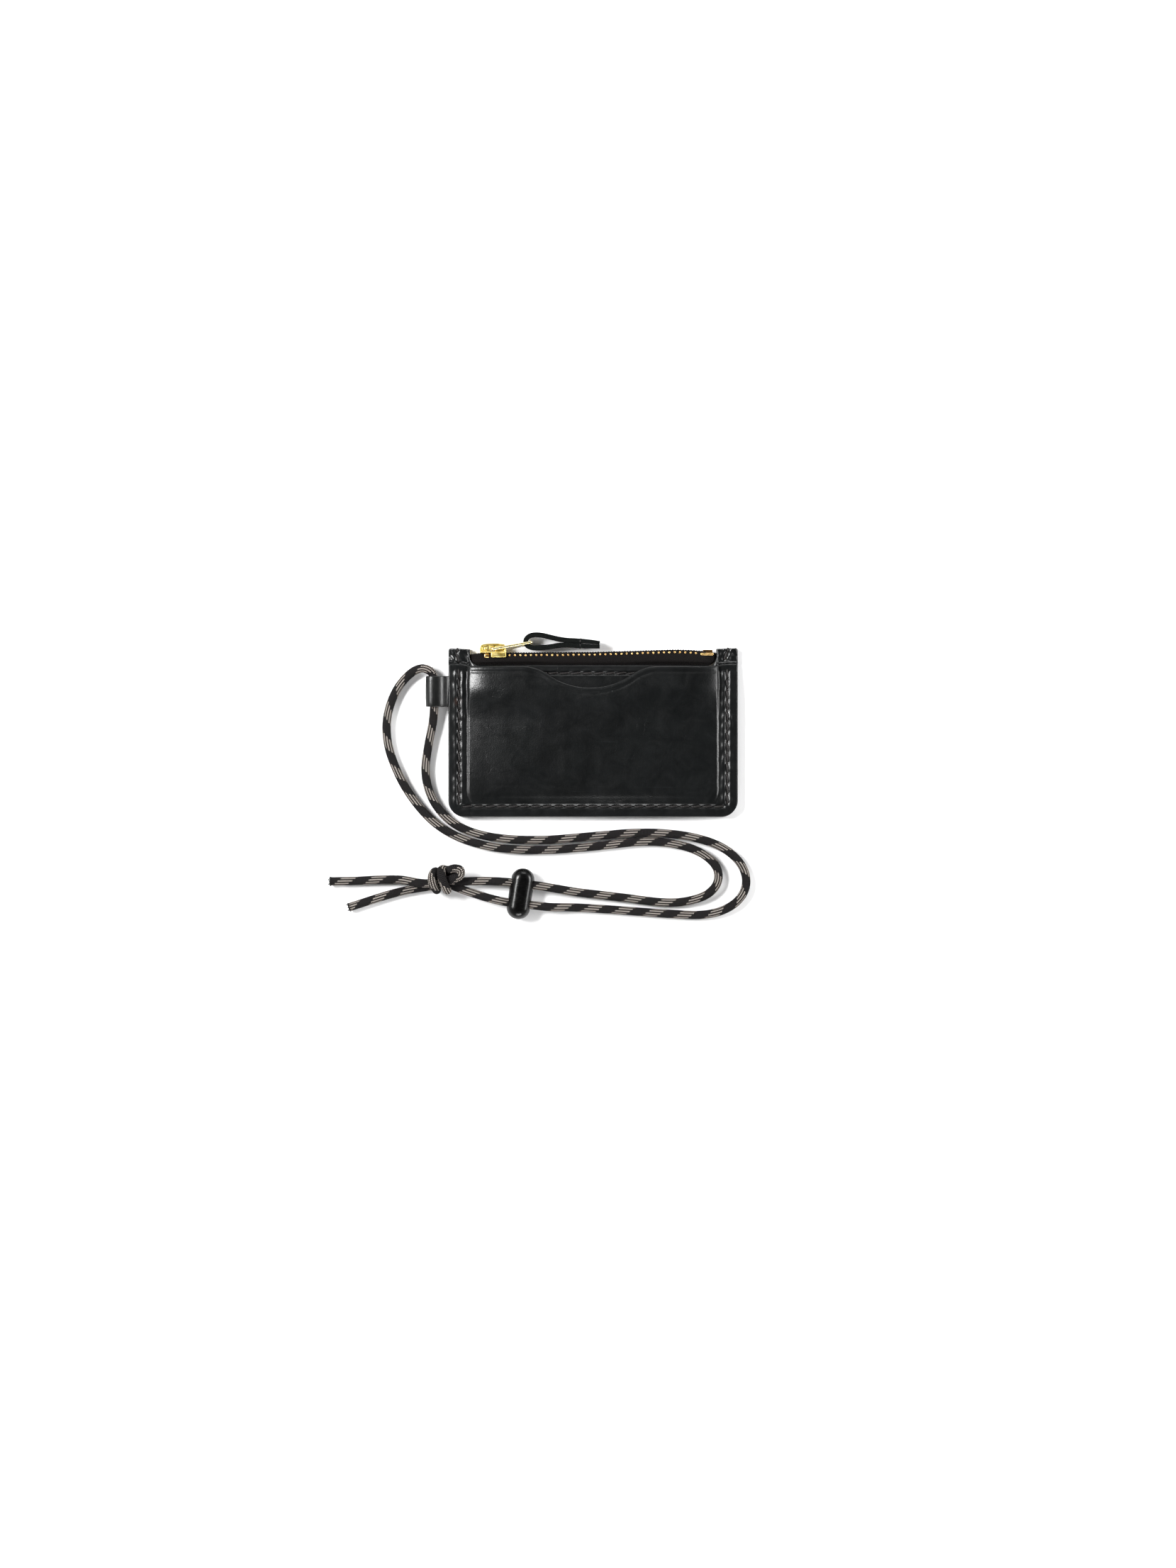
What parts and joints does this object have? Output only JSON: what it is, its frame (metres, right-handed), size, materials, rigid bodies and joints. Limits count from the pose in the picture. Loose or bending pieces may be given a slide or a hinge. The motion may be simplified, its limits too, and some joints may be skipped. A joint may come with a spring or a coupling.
{
  "type": "neck pouch wallet",
  "caption": "Flat leather zip pouch with a card pocket on its front, a thong zip pull and a braided neck cord through a leather loop, bead and knot.",
  "frame": {"origin": "centre of the back panel's outer face, between its side edges and half way up the pouch", "axes": "+X to the right of someone looking at the card pocket, +Y towards the zip, +Z out of the card pocket; the pouch lies on its back"},
  "size_m": [0.1743, 0.1185, 0.011],
  "materials": {
    "pouch_leather": "waxed semi-gloss",
    "thong_leather": "matte suede sides",
    "waxed_thread": "waxed twisted thread",
    "zip_tape": "matte herringbone weave",
    "zip_brass": "polished",
    "gold_plate": "polished pale gold",
    "braided_cord": "dark braid with a beige tracer",
    "bead_plastic": "semi-gloss black"
  },
  "bodies": {
    "pouch": {"back_panel": "pouch_leather", "front_panel": "pouch_leather", "card_pocket": "pouch_leather", "seam_thread": "waxed_thread", "tab_thread_left": "waxed_thread", "tab_thread_right": "waxed_thread", "zip_thread_back": "waxed_thread", "zip_thread_front": "waxed_thread", "zip_tape_back": "zip_tape", "zip_tape_front": "zip_tape", "zip_teeth_back": "zip_brass", "zip_teeth_front": "zip_brass", "top_stop_back": "zip_brass", "top_stop_front": "zip_brass", "bottom_stop": "zip_brass", "cord_loop": "pouch_leather", "neck_cord_a": "braided_cord", "neck_cord_b": "braided_cord", "cord_knot": "braided_cord", "cord_tail_a": "braided_cord", "cord_tail_b": "braided_cord"},
    "slider": {"slider_body": "gold_plate", "slider_cap": "gold_plate"},
    "pull_ring": {"pull_ring": "gold_plate"},
    "pull_thong": {"pull_thong": "thong_leather", "thong_stitch": "waxed_thread"},
    "bead": {"cord_bead": "bead_plastic"}
  },
  "joints": [
    {"name": "slider_slide", "type": "slide", "parent": "pouch", "child": "slider", "axis": [0.9999, 0.0148, 0], "range_m": [0, 0.0795], "deforming": ["zip_teeth_front", "zip_teeth_back"]},
    {"name": "ring_swing", "type": "hinge", "parent": "slider", "child": "pull_ring", "pos_m": [-0.04179, 0.03439, 0.00385], "axis": [0, 0, 1], "range_deg": [0, 140]},
    {"name": "thong_swing", "type": "hinge", "parent": "pull_ring", "child": "pull_thong", "pos_m": [-0.02544, 0.0373, 0.00385], "axis": [0, 0, 1], "range_deg": [0, 60]},
    {"name": "bead_slide", "type": "slide", "parent": "pouch", "child": "bead", "axis": [0.9925, -0.1219, 0], "range_m": [-0.004, 0.004]}
  ]
}
